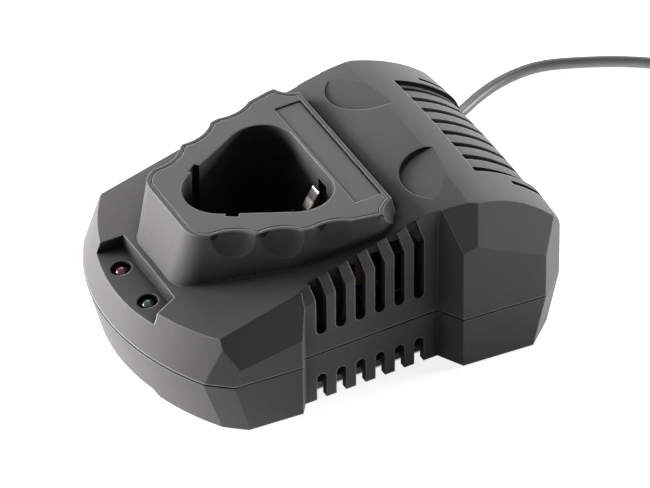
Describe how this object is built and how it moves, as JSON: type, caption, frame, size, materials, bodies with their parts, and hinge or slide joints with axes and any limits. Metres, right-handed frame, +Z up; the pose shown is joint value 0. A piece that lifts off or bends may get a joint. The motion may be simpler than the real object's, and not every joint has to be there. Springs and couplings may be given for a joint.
{
  "type": "power tool battery charger",
  "caption": "Mains charger for a stick battery: drafted housing with a raised scalloped battery well, slotted sides, rear vents, indicator lamps, sprung contacts and a mains lead with plug.",
  "frame": {"origin": "on the surface the charger stands on, under the middle of the housing", "axes": "+X to the charger's right, +Y from the lamp ridge to the vented rear, +Z up"},
  "size_m": [0.1382, 0.2715, 0.0559],
  "materials": {
    "housing_abs": "moulded ABS, fine spark-eroded texture",
    "socket_abs": "moulded ABS, satin",
    "black_nylon": "glass-filled nylon, matt",
    "plated_spring": "nickel-plated spring strip",
    "red_lens": "tinted epoxy lamp, clear gloss",
    "green_lens": "tinted epoxy lamp, clear gloss",
    "board_laminate": "paper laminate with solder resist",
    "zinc_steel": "zinc-plated steel",
    "ribbon_pvc": "grey PVC ribbon",
    "ferrite": "sintered ferrite, matt",
    "polyester_tape": "yellow polyester tape",
    "capacitor_sleeve": "shrunk sleeve on an aluminium can",
    "extruded_aluminium": "bare extrusion",
    "black_epoxy": "transfer-moulded epoxy",
    "fuse_glass": "clear tube with nickel caps",
    "black_rubber": "moulded rubber, matt",
    "cord_pvc": "flexible PVC, satin",
    "core_pvc": "PVC core insulation",
    "nickel_brass": "nickel-plated brass"
  },
  "bodies": {
    "charger": {"upper_housing": "housing_abs", "lower_housing": "housing_abs", "battery_socket": "socket_abs", "contact_carrier": "black_nylon", "transformer_bobbin": "black_nylon", "cord_clamp": "black_nylon", "coil_tie": "black_nylon", "contact_roots": "plated_spring", "lamp_red": "red_lens", "lamp_green": "green_lens", "lamp_board": "board_laminate", "circuit_board": "board_laminate", "lamp_screws": "zinc_steel", "board_screws": "zinc_steel", "housing_screws": "zinc_steel", "clamp_screws": "zinc_steel", "lamp_ribbon": "ribbon_pvc", "transformer_core": "ferrite", "transformer_winding": "polyester_tape", "input_capacitor": "capacitor_sleeve", "output_capacitors": "capacitor_sleeve", "heatsink": "extruded_aluminium", "power_transistor": "black_epoxy", "rectifier": "black_epoxy", "fuse": "fuse_glass", "rubber_feet": "black_rubber", "grommet": "black_rubber", "cord_sheath_end": "cord_pvc", "cord_lead": "cord_pvc", "cord_coil": "cord_pvc", "cord_tail": "cord_pvc", "plug_body": "cord_pvc", "mains_wires": "core_pvc", "plug_pins": "nickel_brass"},
    "positive_leaf": {"contact_positive": "plated_spring"},
    "negative_leaf": {"contact_negative": "plated_spring"},
    "sense_leaf": {"contact_sense": "plated_spring"}
  },
  "joints": [
    {"name": "positive_contact_flex", "type": "hinge", "parent": "charger", "child": "positive_leaf", "pos_m": [0.007, 0.00235, 0.029], "axis": [-1, 0, 0], "range_deg": [0, 9], "stiffness_Nm_per_rad": 0.25},
    {"name": "negative_contact_flex", "type": "hinge", "parent": "charger", "child": "negative_leaf", "pos_m": [-0.007, 0.00235, 0.017], "axis": [-1, 0, 0], "range_deg": [0, 9], "stiffness_Nm_per_rad": 0.25},
    {"name": "sense_contact_flex", "type": "hinge", "parent": "charger", "child": "sense_leaf", "pos_m": [0, 0.00235, 0.017], "axis": [-1, 0, 0], "range_deg": [0, 9], "stiffness_Nm_per_rad": 0.25}
  ]
}
